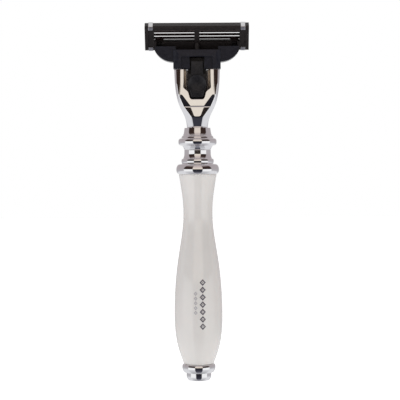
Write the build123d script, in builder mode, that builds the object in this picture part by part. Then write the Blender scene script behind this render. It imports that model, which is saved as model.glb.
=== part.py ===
"""Cartridge razor: a turned resin handle with chromed fittings and a pivoting three-blade unit.

Millimetres, +Z up along the handle. The origin is the centre of the flat foot of the handle.
The release button and the back of the blade unit face -Y, the blades face +Y and a little up.
"""
from build123d import *
import os
from math import cos, hypot, radians, sin

os.makedirs("parts", exist_ok=True)

# ---- Handle: heights of the stacked pieces and their largest radii ----
finial_height = 3.1
finial_r = 5.0
finial_foot_r = 4.3
base_ring_height = 3.5
base_ring_r = 6.66
base_ring_edge_r = 5.6
foot_to_belly = 21.4        # the grip: from its foot up to its fullest section
belly_to_waist = 39.5
waist_to_rim = 15.0
grip_foot_r = 6.0
grip_belly_r = 9.6
grip_waist_r = 5.8
grip_rim_r = 7.6
collar_height = 6.2
collar_r = 8.56
collar_seat_r = 7.2
collar_step_r = 6.45
ferrule_height = 12.3
ferrule_r = 7.65
ferrule_waist_r = 5.35
ferrule_top_r = 5.15
rod_r = 2.0                 # tie rod that clamps the stack together
rod_in_finial = 1.8
rod_in_fork = 5.0
rod_fit = 0.03              # between the rod and the tapped pieces on it
grip_bore_clearance = 0.4

# ---- Neck fork: chromed casting, wide and flat at the top ----
fork_height = 23.2
fork_foot_r = 4.0
fork_half_width = 9.05
fork_rear = 4.3             # depth behind the handle's axis, at the top
fork_heel = 5.35            # and where the rear face ends, above the foot
fork_front = 3.2            # depth in front of it
fork_face_half_width = 6.35 # flat rear face, between its two flanks
pocket_half_width = 6.2
pocket_rear = 3.5
pocket_front = 2.1
pocket_floor = 9.8          # above the fork's foot
window_half_width = 5.3
window_floor_half_width = 2.7
window_floor = 11.3         # above the fork's foot
window_corner = 15.8        # height where the window starts to narrow
window_shelf = 14.3         # and where it is down to the width of the button's tail

# ---- Cartridge dock: plastic carrier, plunger, latch arms and release button ----
insert_half_width = 3.9
insert_rear = 1.6
seat_gap = 0.05             # between pieces fixed in one another
spigot_half_width = 3.6
spigot_height = 5.0         # above the fork
plunger_r = 0.9
plunger_stub_r = 0.7
plunger_collar_r = 1.22
plunger_collar_height = 1.2
chamber_r = 1.3
chamber_height = 8.1
running_gap = 0.08
plunger_spring_r = 1.02
plunger_wire_r = 0.15
plunger_spring_turns = 7
button_travel = 1.6
button_plate_half_width = 3.7
button_plate_front = 1.75
button_plate_rear = 3.3
button_pad_r = 3.7
button_pad_height = 17.2    # pad's centre above the fork's foot
button_pad_rear = 5.6
button_dish_r = 9.0
button_tongue_half_width = 2.35
button_tongue_height = 3.1  # above the fork
finger_offset = 2.5         # the button's two fingers and the springs on them
finger_width = 0.9
finger_height = 1.0
finger_reach = 2.2
finger_above_foot = 13.9    # underside of the fingers, above the fork's foot
button_tail_depth = 1.6
button_rib_depth = 0.7      # thumb rib across the tail
button_spring_r = 0.55
button_wire_r = 0.11
button_spring_turns = 7
button_spring_length = 5.5
latch_inner = 4.4
latch_thickness = 1.1
latch_depth = 2.6
latch_above_fork = 4.1
latch_nose = 0.5
latch_tab_width = 0.9       # foot of each arm, keyed into the insert
latch_tab_height = 1.0
latch_offset_y = 0.1

# ---- Blade unit: its section is drawn as (w, v), w out of the shaving face, v from guard to cap ----
unit_tilt = 30.0            # the face leans forward by this much at rest
unit_length = 41.5
unit_depth = 10.6           # guard edge to cap edge
frame_thickness = 4.3
guard_offset_y = 2.5        # guard's back edge, in front of the handle's axis
guard_above_dock = 7.7      # and above the top of the fork
corner_r = 0.6
end_to_clip = 1.45          # from the end of the unit to each clip
end_to_blade = 2.35
end_to_bay = 3.45
bay_floor = 1.15
bay_to_edge = 0.3           # open face in front of the first cutting edge
bay_to_support = 0.36       # and behind the last blade's support
bay_to_window = 0.6         # the back windows start this much further towards the cap
cap_wall = 1.7
ledge_floor = 2.6
rib_half_width = 1.0
strip_wall = 0.2            # between the bay and the lubricating strip
strip_margin = 0.4          # between the strip and the cap edge
strip_floor = 3.7
strip_top = 4.55
guard_low = 0.4
guard_wall = 0.3
guard_floor = 3.4
guard_top = 4.4
guard_fin_count = 5
clip_width = 1.8
clip_thickness = 0.3
clip_hook = 1.6
blade_count = 3
blade_pitch = 1.4
blade_angle = 22.0
blade_width = 1.25
blade_thickness = 0.1
blade_bevel = 0.3
edge_w = 4.2
edge_overhang = 0.4
support_thickness = 0.28
support_length = 1.45
support_foot = 1.5
support_side_gap = 0.08
float_gap = 0.2
blade_float = 0.25

# ---- Pivot: shell bearings whose axis lies between the blades and the guard ----
pivot_range = 45.0
rail_inner_r = 1.8
rail_outer_r = 2.7
rail_half_angle = 17.5
rail_width = 2.2
rail_from_bay_end = 1.2
web_half_angle = 7.5
web_foot = 0.8              # the rail's web runs this far into the wing
groove_gap = 0.06
angle_margin = 3.5
bearing_wall = 0.6
bearing_edge = 0.2
bearing_back = 0.44         # thickness left between the groove and the back
bearing_top = 2.4
bearing_to_support = 0.36
plunger_gap = 0.12

# ---- Connector yoke ----
yoke_half_width = 9.4
yoke_rear = 4.4
yoke_front = 3.0
yoke_gap = 0.15             # above the fork
yoke_height = 7.6
flange_width = 2.2          # slanted rear corners of the body
flange_step = 1.15
brow_height = 2.0           # slanted top of its rear face
brow_step = 0.6
sweep_block = 20.0          # side of the block cut clear for the swung unit, larger than its section
wing_margin = 0.6           # beyond the bearing rails
wing_height = 9.0
wing_rear = 2.8
socket_half_width = 6.2
socket_rear = 2.9
socket_front = 2.25
socket_depth = 5.85
recess_depth = 0.7
recess_height = 4.65
notch_side_gap = 0.4
sweep_gap = 0.28            # kept between the yoke and the swinging blade unit
roof_hole_gap = 0.2

# ---- Places worked out from the sizes above ----
tapped_r = rod_r + rod_fit
base_ring_z = finial_height
grip_z = base_ring_z + base_ring_height
grip_length = foot_to_belly + belly_to_waist + waist_to_rim
collar_z = grip_z + grip_length
ferrule_z = collar_z + collar_height
fork_z = ferrule_z + ferrule_height
dock_z = fork_z + fork_height
insert_z = fork_z + pocket_floor + 0.5
chamber_z = insert_z + 1.6
guard_z = dock_z + guard_above_dock
tilt = radians(unit_tilt)
half_length = unit_length / 2
bay_half_length = half_length - end_to_bay
blade_half_length = half_length - end_to_blade
clip_inner = half_length - end_to_clip - clip_width
rail_inner_x = bay_half_length - rail_from_bay_end - rail_width
wing_half_span = rail_inner_x + rail_width + wing_margin
groove_angle = pivot_range / 2 + rail_half_angle + angle_margin
slot_angle = pivot_range / 2 + web_half_angle + angle_margin
groove_r = rail_outer_r + groove_gap
pivot_w = groove_r + bearing_back
pivot_v = groove_r * sin(radians(groove_angle)) + bearing_edge
bearing_high = 2 * pivot_v
support_rise = support_length * cos(radians(blade_angle))
edge_v = bearing_high + bearing_to_support + support_thickness - support_rise
bend_v = [edge_v + index * blade_pitch + support_rise for index in range(blade_count)]
bay_low = edge_v - bay_to_edge
bay_high = bend_v[-1] + bay_to_support
window_low = bay_low + bay_to_window
window_high = unit_depth - cap_wall
strip_low = bay_high + strip_wall
strip_high = unit_depth - strip_margin
guard_high = bay_low - guard_wall
pivot_y = guard_offset_y + pivot_w * cos(tilt) - pivot_v * sin(tilt)
pivot_z = guard_z + pivot_w * sin(tilt) + pivot_v * cos(tilt)
unit_plane = Plane(origin=(0, guard_offset_y, guard_z), x_dir=(0, cos(tilt), sin(tilt)), z_dir=(1, 0, 0))

pieces = {}


def ring_bore(z, height, radius):
    """A plain round cutter on the handle's axis, from z upwards."""
    with BuildPart() as cutter:
        with BuildSketch(Plane.XY.offset(z)):
            Circle(radius)
        extrude(amount=height)
    return cutter.part


def coil(x, y, z, radius, wire_r, turns, length):
    """A compression spring: round wire along a helix whose ends stay inside its length."""
    rise = length - 2 * wire_r
    with BuildPart() as spring:
        with BuildLine(Plane(origin=(x, y, z + wire_r))) as path:
            Helix(pitch=rise / turns, height=rise, radius=radius)
        with BuildSketch(Plane(origin=path.line @ 0, z_dir=path.line % 0)):
            Circle(wire_r)
        sweep(path=path.line, is_frenet=True)
    return spring


def pivot_point(radius, angle):
    """The section point at this distance from the pivot, 0 degrees pointing out of the back."""
    return (pivot_w - radius * cos(radians(angle)), pivot_v + radius * sin(radians(angle)))


def ring_sector(plane, inner_r, outer_r, start, end):
    """The stretch of ring about the pivot between two radii and two angles."""
    middle = (start + end) / 2
    with BuildSketch(plane) as sector:
        with BuildLine():
            ThreePointArc(*[pivot_point(outer_r, angle) for angle in (start, middle, end)])
            Line(pivot_point(outer_r, end), pivot_point(inner_r, end))
            ThreePointArc(*[pivot_point(inner_r, angle) for angle in (end, middle, start)])
            Line(pivot_point(inner_r, start), pivot_point(outer_r, start))
        make_face()
    return sector.sketch


def section_box(low_x, high_x, low_w, high_w, low_v, high_v):
    """A block of the blade unit between two places along X and two corners of its section."""
    with BuildPart() as block:
        with BuildSketch(unit_plane.offset(low_x)):
            with Locations(((low_w + high_w) / 2, (low_v + high_v) / 2)):
                Rectangle(high_w - low_w, high_v - low_v)
        extrude(amount=high_x - low_x)
    return block.part


# ---- Finial: turned foot that closes the handle and takes the tie rod ----
with BuildPart() as finial:
    with BuildSketch(Plane.XZ):
        with BuildLine():
            Polyline((0, finial_height), (0, 0), (finial_foot_r, 0))
            ThreePointArc((finial_foot_r, 0), (finial_r - 0.2, 0.75), (finial_r, finial_height - 0.6))
            Polyline((finial_r, finial_height - 0.6), (finial_r, finial_height), (0, finial_height))
        make_face()
    revolve(axis=Axis.Z)
    add(ring_bore(finial_height - rod_in_finial, rod_in_finial, tapped_r), mode=Mode.SUBTRACT)
pieces["finial"] = finial

# ---- Base ring: half-round bead between the finial and the grip ----
with BuildPart() as base_ring:
    with BuildSketch(Plane.XZ):
        with BuildLine():
            Polyline(
                (base_ring_edge_r, base_ring_z), (tapped_r, base_ring_z),
                (tapped_r, grip_z), (grip_foot_r, grip_z),
            )
            ThreePointArc(
                (grip_foot_r, grip_z),
                (base_ring_r, base_ring_z + base_ring_height / 2),
                (base_ring_edge_r, base_ring_z),
            )
        make_face()
    revolve(axis=Axis.Z)
pieces["base_ring"] = base_ring

# ---- Grip: turned resin, bored right through ----
belly_z = grip_z + foot_to_belly
waist_z = belly_z + belly_to_waist
with BuildPart() as handle_grip:
    with BuildSketch(Plane.XZ):
        with BuildLine():
            Spline(
                (grip_foot_r, grip_z),
                (grip_foot_r + 0.6 * (grip_belly_r - grip_foot_r), grip_z + 0.3 * foot_to_belly),
                (grip_belly_r, belly_z),
                (grip_waist_r + 0.62 * (grip_belly_r - grip_waist_r), belly_z + 0.5 * belly_to_waist),
                (grip_waist_r, waist_z),
                (grip_rim_r, collar_z),
            )
            Line((grip_rim_r, collar_z), (rod_r + grip_bore_clearance, collar_z))
            Line((rod_r + grip_bore_clearance, collar_z), (rod_r + grip_bore_clearance, grip_z))
            Line((rod_r + grip_bore_clearance, grip_z), (grip_foot_r, grip_z))
        make_face()
    revolve(axis=Axis.Z)
pieces["handle_grip"] = handle_grip

# ---- Collar ring: large bead on the grip's rim with a stepped shoulder above it ----
with BuildPart() as collar_ring:
    bead_height = 0.66 * collar_height
    with BuildSketch(Plane.XZ):
        with BuildLine():
            Polyline(
                (collar_step_r, collar_z + bead_height), (collar_step_r, ferrule_z),
                (tapped_r, ferrule_z), (tapped_r, collar_z), (collar_seat_r, collar_z),
            )
            ThreePointArc(
                (collar_seat_r, collar_z),
                (collar_r, collar_z + bead_height / 2),
                (collar_seat_r, collar_z + bead_height),
            )
            Line((collar_seat_r, collar_z + bead_height), (collar_step_r, collar_z + bead_height))
        make_face()
    revolve(axis=Axis.Z)
pieces["collar_ring"] = collar_ring

# ---- Neck ferrule: waisted below, a domed bead above ----
with BuildPart() as neck_ferrule:
    with BuildSketch(Plane.XZ):
        with BuildLine():
            Polyline((tapped_r, fork_z), (tapped_r, ferrule_z), (ferrule_waist_r, ferrule_z))
            Line((ferrule_waist_r, ferrule_z), (ferrule_waist_r, ferrule_z + 0.24 * ferrule_height))
            Spline(
                (ferrule_waist_r, ferrule_z + 0.24 * ferrule_height),
                ((ferrule_waist_r + ferrule_r) / 2, ferrule_z + 0.43 * ferrule_height),
                (ferrule_r, ferrule_z + 0.545 * ferrule_height),
                (0.7 * ferrule_top_r + 0.3 * ferrule_r, ferrule_z + 0.76 * ferrule_height),
                (ferrule_top_r, fork_z),
                tangents=((0, 1), (0, 1)),
            )
            Line((ferrule_top_r, fork_z), (tapped_r, fork_z))
        make_face()
    revolve(axis=Axis.Z)
pieces["neck_ferrule"] = neck_ferrule

# ---- Tie rod: threaded into the finial and the fork, it clamps the handle's pieces together ----
rod_z = finial_height - rod_in_finial + rod_fit
with BuildPart() as tie_rod:
    with BuildSketch(Plane.XY.offset(rod_z)):
        Circle(rod_r)
    extrude(amount=fork_z + rod_in_fork - rod_fit - rod_z)
    chamfer(tie_rod.edges().filter_by(GeomType.CIRCLE), length=rod_r / 5)
pieces["tie_rod"] = tie_rod

# ---- Neck fork: each section is a flat-sided ring whose rear flanks run into the round foot ----
# height, half width, rear face's half width, flank's half width, rear, flank's step, rear chamfer,
# front, front chamfer
fork_sections = (
    (0, fork_foot_r, 0.9, 1.9, fork_foot_r, 0.15, 2.4, fork_foot_r, 2.4),
    (4.0, fork_foot_r + 0.85, 0.9, 2.4, fork_heel, 0.2, 2.9, fork_front + 0.4, 2.2),
    (8.4, fork_foot_r + 2.9, 2.6, 5.5, fork_heel - 0.25, 0.38, 2.6, fork_front, 1.8),
    (12.8, fork_half_width - 0.85, 5.9, 7.5, fork_rear + 0.6, 0.33, 2.1, fork_front, 1.6),
    (
        17.5, fork_half_width - 0.25, fork_face_half_width, 8.15, fork_rear + 0.35, 0.45, 1.8,
        fork_front, 1.6,
    ),
    (fork_height, fork_half_width, fork_face_half_width, 8.3, fork_rear, 0.5, 1.8, fork_front, 1.6),
)
with BuildPart() as neck_fork:
    for height, half, face_half, flank_half, rear, flank_step, rear_cut, front, front_cut in fork_sections:
        with BuildSketch(Plane.XY.offset(fork_z + height)):
            with BuildLine():
                Polyline(
                    (face_half, -rear), (flank_half, flank_step - rear), (half, rear_cut - rear),
                    (half, front - front_cut), (half - front_cut, front), (front_cut - half, front),
                    (-half, front - front_cut), (-half, rear_cut - rear),
                    (-flank_half, flank_step - rear), (-face_half, -rear),
                    close=True,
                )
            make_face()
    loft()
    with BuildSketch(Plane.XZ.offset(-pocket_front)):
        with BuildLine():
            Polyline(
                (pocket_half_width, dock_z), (pocket_half_width, fork_z + window_corner + 0.3),
                (window_floor_half_width + 0.6, fork_z + pocket_floor),
                (-window_floor_half_width - 0.6, fork_z + pocket_floor),
                (-pocket_half_width, fork_z + window_corner + 0.3), (-pocket_half_width, dock_z),
                close=True,
            )
        make_face()
    extrude(amount=pocket_front + pocket_rear, mode=Mode.SUBTRACT)
    with BuildSketch(Plane.XZ.offset(pocket_rear)):
        with BuildLine():
            Polyline(
                (window_half_width, dock_z), (window_half_width - 0.1, fork_z + window_corner),
                (window_floor_half_width + 0.65, fork_z + window_shelf),
                (window_floor_half_width, fork_z + window_floor + 0.6),
                (window_floor_half_width - 0.5, fork_z + window_floor),
                (0.5 - window_floor_half_width, fork_z + window_floor),
                (-window_floor_half_width, fork_z + window_floor + 0.6),
                (-window_floor_half_width - 0.65, fork_z + window_shelf),
                (0.1 - window_half_width, fork_z + window_corner), (-window_half_width, dock_z),
                close=True,
            )
        make_face()
    extrude(amount=fork_rear, mode=Mode.SUBTRACT)
    add(ring_bore(fork_z, rod_in_fork, tapped_r), mode=Mode.SUBTRACT)
pieces["neck_fork"] = neck_fork

# ---- Dock insert: moulded carrier in the fork's pocket, with the spigot the connector slides onto ----
insert_front = pocket_front - seat_gap
collar_rest_z = chamber_z + chamber_height - 0.1 - plunger_collar_height
spigot_z = dock_z + spigot_height
finger_z = fork_z + finger_above_foot
spring_seat_z = finger_z + finger_height + seat_gap
spring_y = 0.1 - finger_width / 2 - seat_gap
latch_z = fork_z + window_corner + 0.2
latch_tab_depth = latch_depth - 0.8
with BuildPart() as dock_insert:
    with BuildSketch(Plane.XZ.offset(-insert_front)):
        with BuildLine():
            Polyline(
                (window_floor_half_width + 0.5, insert_z), (insert_half_width, insert_z + 1.6),
                (insert_half_width, dock_z - 0.3), (spigot_half_width, dock_z - 0.3),
                (spigot_half_width, spigot_z), (-spigot_half_width, spigot_z),
                (-spigot_half_width, dock_z - 0.3), (-insert_half_width, dock_z - 0.3),
                (-insert_half_width, insert_z + 1.6), (-window_floor_half_width - 0.5, insert_z),
                close=True,
            )
        make_face()
    extrude(amount=insert_front + insert_rear)
    chamfer(dock_insert.faces().sort_by(Axis.Z)[-1].edges(), length=0.4)
    add(ring_bore(chamber_z, chamber_height, chamber_r), mode=Mode.SUBTRACT)
    add(ring_bore(chamber_z, spigot_z - chamber_z, plunger_r + running_gap), mode=Mode.SUBTRACT)
    for side in (-1, 1):
        with BuildSketch(Plane.XY.offset(finger_z - 0.15)):
            with Locations((side * finger_offset, (finger_reach - insert_rear - button_plate_front) / 2)):
                Rectangle(finger_width + 0.2, finger_reach + insert_rear - button_plate_front + 0.3)
        extrude(amount=button_travel + finger_height + 0.3, mode=Mode.SUBTRACT)
        with BuildSketch(Plane.XY.offset(spring_seat_z - 2 * seat_gap)):
            with Locations((side * finger_offset, spring_y)):
                Circle(button_spring_r + button_wire_r + 0.14)
        extrude(amount=button_spring_length + 2 * seat_gap, mode=Mode.SUBTRACT)
        with BuildSketch(Plane.XY.offset(latch_z)):
            with Locations((side * (latch_inner - latch_tab_width / 2), latch_offset_y)):
                Rectangle(latch_tab_width, latch_tab_depth)
        extrude(amount=latch_tab_height, mode=Mode.SUBTRACT)
pieces["dock_insert"] = dock_insert

# ---- Latch arms: bent spring-steel arms keyed into the insert, with a nose that holds the connector ----
latch_outer = latch_inner + latch_thickness
for side, name in ((-1, "latch_arm_left"), (1, "latch_arm_right")):
    with BuildPart() as latch_arm:
        with BuildSketch(Plane.XZ.offset(-latch_depth / 2 - latch_offset_y)):
            with BuildLine():
                Polyline(
                    (side * latch_inner, latch_z), (side * latch_outer, latch_z),
                    (side * latch_outer, dock_z + 1.6),
                    (side * (latch_outer + latch_nose), dock_z + 2.4),
                    (side * latch_outer, dock_z + 3.2),
                    (side * (latch_outer - 0.4), dock_z + latch_above_fork),
                    (side * latch_inner, dock_z + latch_above_fork),
                    close=True,
                )
            make_face()
        extrude(amount=latch_depth)
        with BuildSketch(Plane.XY.offset(latch_z)):
            with Locations((side * (latch_inner - latch_tab_width / 2), latch_offset_y)):
                Rectangle(latch_tab_width, latch_tab_depth)
        extrude(amount=latch_tab_height)
    pieces[name] = latch_arm

# ---- Plunger: sprung pin whose round tip bears on the back of the blade unit ----
tip_reach = (pivot_y * cos(tilt) - pivot_w - plunger_r) / sin(tilt) - plunger_gap
tip_z = pivot_z + tip_reach
swung = radians(unit_tilt + pivot_range)
tip_reach_swung = (pivot_y * cos(swung) - pivot_w - plunger_r) / sin(swung) - plunger_gap
plunger_travel = tip_reach - tip_reach_swung
stub_height = 2.2
with BuildPart() as plunger:
    with BuildSketch(Plane.XZ):
        with BuildLine():
            Polyline(
                (0, tip_z + plunger_r), (0, collar_rest_z - stub_height),
                (plunger_stub_r, collar_rest_z - stub_height), (plunger_stub_r, collar_rest_z),
                (plunger_collar_r, collar_rest_z),
                (plunger_collar_r, collar_rest_z + plunger_collar_height),
                (plunger_r, collar_rest_z + plunger_collar_height), (plunger_r, tip_z),
            )
            RadiusArc((plunger_r, tip_z), (0, tip_z + plunger_r), -plunger_r)
        make_face()
    revolve(axis=Axis.Z)
pieces["plunger"] = plunger

pieces["plunger_spring"] = coil(
    0, 0, chamber_z + seat_gap, plunger_spring_r, plunger_wire_r, plunger_spring_turns,
    collar_rest_z - chamber_z - 2 * seat_gap,
)

# ---- Release button: thumb pad with a dished face, its slide plate, tongue and two spring fingers ----
pad_z = fork_z + button_pad_height
tongue_z = dock_z + button_tongue_height
tail_z = fork_z + window_floor + 0.7
with BuildPart() as release_button:
    with BuildSketch(Plane.XZ.offset(button_plate_front)):
        with BuildLine():
            Polyline(
                (window_floor_half_width - 0.1, tail_z + 0.3), (button_plate_half_width, tail_z + 2.6),
                (button_plate_half_width, dock_z - button_travel - 0.25),
                (-button_plate_half_width, dock_z - button_travel - 0.25),
                (-button_plate_half_width, tail_z + 2.6), (0.1 - window_floor_half_width, tail_z + 0.3),
                close=True,
            )
        make_face()
    extrude(amount=button_plate_rear - button_plate_front)
    with BuildSketch(Plane.XZ.offset(button_plate_rear)):
        with BuildLine():
            Polyline(
                (window_floor_half_width - 0.35, tail_z), (window_floor_half_width + 0.4, tail_z + 3.6),
                (-window_floor_half_width - 0.4, tail_z + 3.6), (0.35 - window_floor_half_width, tail_z),
                close=True,
            )
        make_face()
    extrude(amount=button_tail_depth)
    with BuildSketch(Plane.XZ.offset(button_plate_rear)):
        with Locations((0, pad_z)):
            Circle(button_pad_r)
    extrude(amount=button_pad_rear - button_plate_rear)
    with BuildSketch(Plane.XZ.offset(socket_rear)):
        with Locations((0, (pad_z + tongue_z) / 2)):
            Rectangle(2 * button_tongue_half_width, tongue_z - pad_z)
    extrude(amount=yoke_rear - socket_rear - 0.3)
    with Locations((0, -button_pad_rear - button_dish_r + 1.0, pad_z)):
        Sphere(button_dish_r, mode=Mode.SUBTRACT)
    with BuildSketch(Plane.XZ.offset(button_plate_rear + 1.4)):
        with Locations((0, tail_z + 2.2)):
            Rectangle(2 * window_floor_half_width - 1.6, 0.5)
    extrude(amount=button_rib_depth)
    for side in (-1, 1):
        with BuildSketch(Plane.XY.offset(finger_z)):
            with Locations((side * finger_offset, finger_reach / 2 - button_plate_front)):
                Rectangle(finger_width, finger_reach)
        extrude(amount=finger_height)
pieces["release_button"] = release_button

for side, name in ((-1, "button_spring_left"), (1, "button_spring_right")):
    pieces[name] = coil(
        side * finger_offset, spring_y, spring_seat_z, button_spring_r, button_wire_r,
        button_spring_turns, button_spring_length - 2 * seat_gap,
    )

# ---- Connector yoke: socket for the spigot below, two wings with bearing rails above ----
yoke_z = dock_z + yoke_gap
corner_reach = hypot(pivot_w, pivot_v) + sweep_gap
web_outer_r = corner_reach + web_foot
rest_angle = -pivot_range / 2
socket_top = yoke_z + socket_depth
with BuildPart() as connector_yoke:
    with BuildSketch(Plane.YZ.offset(-yoke_half_width)):
        with BuildLine():
            Polyline(
                (yoke_front, yoke_z), (-yoke_rear, yoke_z),
                (-yoke_rear, yoke_z + yoke_height - brow_height),
                (brow_step - yoke_rear, yoke_z + yoke_height), (yoke_front, yoke_z + yoke_height),
                close=True,
            )
        make_face()
    extrude(amount=2 * yoke_half_width)
    with BuildSketch(Plane.XY.offset(yoke_z)):
        with BuildLine():
            Polyline(
                (yoke_half_width, yoke_front), (yoke_half_width, flange_step - yoke_rear),
                (yoke_half_width - flange_width, -yoke_rear), (flange_width - yoke_half_width, -yoke_rear),
                (-yoke_half_width, flange_step - yoke_rear), (-yoke_half_width, yoke_front),
                close=True,
            )
        make_face()
    extrude(amount=yoke_height, mode=Mode.INTERSECT)
    for side in (-1, 1):
        with BuildSketch(Plane.XZ.offset(-yoke_front)):
            with BuildLine():
                wing_top = yoke_z + wing_height
                Line((side * (yoke_half_width - 1), wing_top), (side * wing_half_span, wing_top))
                Line((side * wing_half_span, wing_top), (side * wing_half_span, wing_top - 1.8))
                Spline(
                    (side * wing_half_span, wing_top - 1.8),
                    (side * (wing_half_span - 2.3), wing_top - 4.5),
                    (side * (yoke_half_width - 1), yoke_z + 2.8),
                )
                Line((side * (yoke_half_width - 1), yoke_z + 2.8), (side * (yoke_half_width - 1), wing_top))
            make_face()
        extrude(amount=yoke_front + wing_rear)
    with BuildSketch(unit_plane.offset(-wing_half_span)):
        with Locations((pivot_w, pivot_v)):
            Circle(corner_reach)
    extrude(amount=2 * wing_half_span, mode=Mode.SUBTRACT)
    swung_plane = Plane(
        origin=(0, pivot_y, pivot_z), x_dir=(0, cos(swung), sin(swung)), z_dir=(1, 0, 0)
    )
    with BuildSketch(swung_plane.offset(-wing_half_span)):
        with Locations((sweep_block / 2 - pivot_w - sweep_gap, sweep_block / 2)):
            Rectangle(sweep_block, sweep_block)
    extrude(amount=2 * wing_half_span, mode=Mode.SUBTRACT)
    for low_x in (rail_inner_x, -rail_inner_x - rail_width):
        rail_plane = unit_plane.offset(low_x)
        extrude(
            ring_sector(
                rail_plane, rail_inner_r, rail_outer_r,
                rest_angle - rail_half_angle, rest_angle + rail_half_angle,
            ),
            amount=rail_width,
        )
        extrude(
            ring_sector(
                rail_plane, rail_inner_r + 0.1, web_outer_r,
                rest_angle - web_half_angle, rest_angle + web_half_angle,
            ),
            amount=rail_width,
        )
    with BuildSketch(Plane.XY.offset(yoke_z)):
        with Locations((0, (socket_front - socket_rear) / 2)):
            Rectangle(2 * socket_half_width, socket_front + socket_rear)
    extrude(amount=socket_depth, mode=Mode.SUBTRACT)
    with BuildSketch(Plane.XY.offset(yoke_z)):
        with Locations((0, recess_depth / 2 - yoke_rear)):
            Rectangle(2 * socket_half_width, recess_depth)
    extrude(amount=recess_height, mode=Mode.SUBTRACT)
    notch_half = button_tongue_half_width + notch_side_gap
    notch_height = tongue_z + button_travel + 0.2 - yoke_z
    with BuildSketch(Plane.XY.offset(yoke_z)):
        with Locations((0, -(yoke_rear + socket_rear) / 2)):
            Rectangle(2 * notch_half, yoke_rear - socket_rear + 0.2)
    extrude(amount=notch_height, mode=Mode.SUBTRACT)
    add(ring_bore(socket_top - 1, wing_height, plunger_r + roof_hole_gap), mode=Mode.SUBTRACT)
pieces["connector_yoke"] = connector_yoke

# ---- Blade unit frame: moulded bar with a blade bay in the face and two windows in the back ----
through = unit_depth + frame_thickness     # a cutter this long runs out of the frame
cap_seat = unit_depth - clip_thickness
leg_slot_top = 2.7
leg_slot_floor = support_foot - blade_float - 0.1
with BuildPart() as cartridge_frame:
    with BuildSketch(unit_plane.offset(-half_length)):
        with BuildLine():
            Polyline(
                (0, corner_r), (0, unit_depth - corner_r), (corner_r, unit_depth),
                (frame_thickness - corner_r, unit_depth), (frame_thickness, unit_depth - corner_r),
                (frame_thickness, 2 * corner_r), (frame_thickness - 2 * corner_r, 0), (corner_r, 0),
                close=True,
            )
        make_face()
    extrude(amount=unit_length)
    reach = bay_half_length
    add(section_box(-reach, reach, bay_floor, through, bay_low, bay_high), mode=Mode.SUBTRACT)
    add(section_box(-reach, reach, strip_floor, through, strip_low, strip_high), mode=Mode.SUBTRACT)
    add(section_box(-reach, reach, guard_floor, through, guard_low, guard_high), mode=Mode.SUBTRACT)
    for side in (-1, 1):
        near, far = sorted((side * rib_half_width, side * (bay_half_length - 0.3)))
        cut = section_box(near, far, -1, bay_floor + 0.1, window_low, window_high)
        add(cut, mode=Mode.SUBTRACT)
        cut = section_box(near, far, bay_floor, ledge_floor, bay_high - 0.1, window_high)
        add(cut, mode=Mode.SUBTRACT)
        near, far = sorted((side * (bay_half_length - 0.1), side * (blade_half_length + float_gap)))
        add(section_box(near, far, leg_slot_top, through, bay_low, bay_high), mode=Mode.SUBTRACT)
        for leg_v in bend_v:
            slot_low = leg_v - support_thickness - support_side_gap
            slot_high = leg_v + support_side_gap
            cut = section_box(near, far, leg_slot_floor, leg_slot_top + 0.1, slot_low, slot_high)
            add(cut, mode=Mode.SUBTRACT)
        near, far = sorted((side * clip_inner, side * (clip_inner + clip_width)))
        add(section_box(near, far, -1, clip_thickness, -1, through), mode=Mode.SUBTRACT)
        add(section_box(near, far, -1, through, -1, clip_thickness), mode=Mode.SUBTRACT)
        add(section_box(near, far, -1, through, cap_seat, through), mode=Mode.SUBTRACT)
    for low_x in (rail_inner_x, -rail_inner_x - rail_width):
        near, far = low_x - bearing_wall, low_x + rail_width + bearing_wall
        add(section_box(near, far, 0, bearing_top, bay_low - 0.2, bearing_high))
        groove_plane = unit_plane.offset(low_x - groove_gap)
        groove_width = rail_width + 2 * groove_gap
        extrude(
            ring_sector(groove_plane, rail_inner_r - groove_gap, groove_r, -groove_angle, groove_angle),
            amount=groove_width, mode=Mode.SUBTRACT,
        )
        extrude(
            ring_sector(groove_plane, rail_outer_r - 0.1, web_outer_r, -slot_angle, slot_angle),
            amount=groove_width, mode=Mode.SUBTRACT,
        )
pieces["cartridge_frame"] = cartridge_frame

# ---- Guard: soft fins that run the length of the unit in front of the first blade ----
fin_pitch = (guard_high - guard_low) / guard_fin_count
fin_root = guard_floor + 0.45
with BuildPart() as guard_fins:
    with BuildSketch(unit_plane.offset(-bay_half_length)):
        with BuildLine():
            outline = [(guard_floor, guard_high), (guard_floor, guard_low), (fin_root, guard_low)]
            for index in range(guard_fin_count):
                fin_v = guard_low + index * fin_pitch
                top = min(guard_top, fin_root + 0.25 + 0.16 * index)
                outline += [(top, fin_v + 0.3 * fin_pitch), (top, fin_v + 0.6 * fin_pitch)]
                outline += [(fin_root, fin_v + fin_pitch)]
            Polyline(*outline, close=True)
        make_face()
    extrude(amount=2 * bay_half_length)
pieces["guard_fins"] = guard_fins

# ---- Lubricating strip: crowned bar let into the cap ----
with BuildPart() as lubricating_strip:
    with BuildSketch(unit_plane.offset(-bay_half_length)):
        with BuildLine():
            Polyline(
                (frame_thickness, strip_high), (strip_floor, strip_high),
                (strip_floor, strip_low), (frame_thickness, strip_low),
            )
            ThreePointArc(
                (frame_thickness, strip_low), (strip_top, (strip_low + strip_high) / 2),
                (frame_thickness, strip_high),
            )
        make_face()
    extrude(amount=2 * bay_half_length)
pieces["lubricating_strip"] = lubricating_strip

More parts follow.
